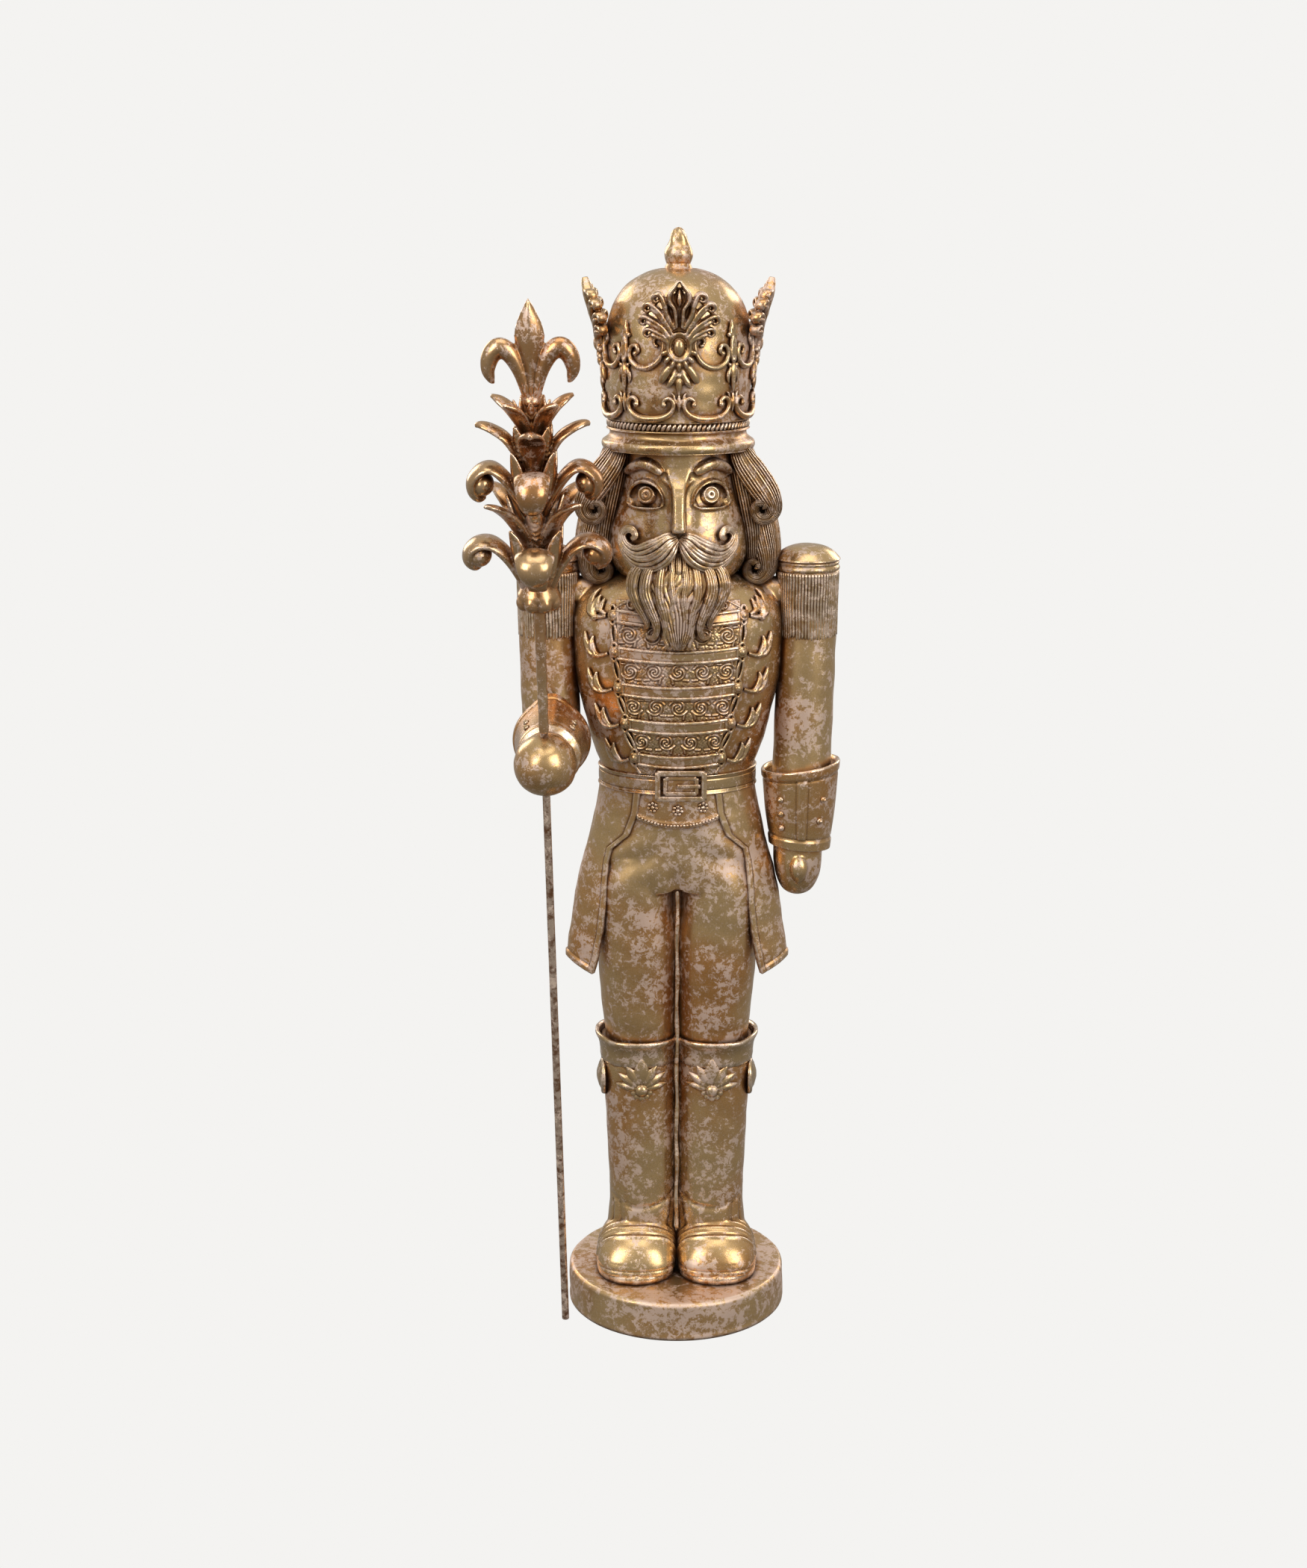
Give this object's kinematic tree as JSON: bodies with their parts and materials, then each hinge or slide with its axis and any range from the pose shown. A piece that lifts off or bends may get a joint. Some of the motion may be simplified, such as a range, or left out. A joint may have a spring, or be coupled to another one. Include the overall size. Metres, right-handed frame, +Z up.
{
  "type": "nutcracker figure",
  "caption": "Standing gilded nutcracker king on a round plinth, in a crown hat and frogged tailcoat, holding a tall leafy sceptre that lifts out of its fist and turns.",
  "frame": {"origin": "centre of the underside of the round plinth", "axes": "+Z up through the hat, -Y the way the figure faces, -X to the figure's own right hand, which holds the sceptre"},
  "size_m": [0.1953, 0.1942, 0.6],
  "materials": {
    "gilded_resin": "satin",
    "gilded_sceptre": "satin",
    "rod_steel": "satin",
    "peg_wood": "matte",
    "felt": "matte"
  },
  "bodies": {
    "figure": {"base": "gilded_resin", "felt_disc": "felt", "boot_left": "gilded_resin", "boot_right": "gilded_resin", "sole_left": "gilded_resin", "sole_right": "gilded_resin", "boot_cuff_left": "gilded_resin", "boot_cuff_right": "gilded_resin", "boot_palmette_left": "gilded_resin", "boot_palmette_right": "gilded_resin", "boot_boss_left": "gilded_resin", "boot_boss_right": "gilded_resin", "trousers": "gilded_resin", "coat_tail_left": "gilded_resin", "coat_tail_right": "gilded_resin", "waistcoat_hem": "gilded_resin", "torso": "gilded_resin", "breast_panel": "gilded_resin", "frog_bars": "gilded_resin", "frog_cords": "gilded_resin", "frog_tassels": "gilded_resin", "frog_knots": "gilded_resin", "belt": "gilded_resin", "buckle": "gilded_resin", "collar": "gilded_resin", "head": "gilded_resin", "moustache": "gilded_resin", "beard": "gilded_resin", "hair_left": "gilded_resin", "hair_right": "gilded_resin", "hair_back": "gilded_resin", "hat_brim": "gilded_resin", "hat_crown": "gilded_resin", "hat_rope_band": "gilded_resin", "hat_finial": "gilded_resin", "crown_palmettes_front_back": "gilded_resin", "crown_palmettes_sides": "gilded_resin", "crown_scrolls": "gilded_resin", "crown_pendants": "gilded_resin", "epaulette_cap_left": "gilded_resin", "epaulette_cap_right": "gilded_resin", "epaulette_fringe_left": "gilded_resin", "epaulette_fringe_right": "gilded_resin", "sleeve_left": "gilded_resin", "sleeve_right": "gilded_resin", "forearm_right": "gilded_resin", "cuff_left": "gilded_resin", "cuff_right": "gilded_resin", "cuff_studs": "gilded_resin", "hand_left": "gilded_resin", "fist_right": "gilded_resin", "joining_pegs": "peg_wood"},
    "sceptre_rod": {"sceptre_rod": "rod_steel"},
    "sceptre_head": {"sceptre_stem": "gilded_sceptre", "leaf_tier_1": "gilded_sceptre", "leaf_tier_2": "gilded_sceptre", "leaf_tier_3": "gilded_sceptre", "leaf_tier_4": "gilded_sceptre", "leaf_tier_5": "gilded_sceptre", "fleur_de_lis": "gilded_sceptre"}
  },
  "joints": [
    {"name": "sceptre_lift", "type": "slide", "parent": "figure", "child": "sceptre_rod", "axis": [-0.0173, -0.1392, 0.9901], "range_m": [0, 0.33]},
    {"name": "sceptre_turn", "type": "hinge", "parent": "sceptre_rod", "child": "sceptre_head", "pos_m": [-0.06843, -0.07977, 0.332], "axis": [-0.0173, -0.1392, 0.9901], "continuous": true}
  ]
}
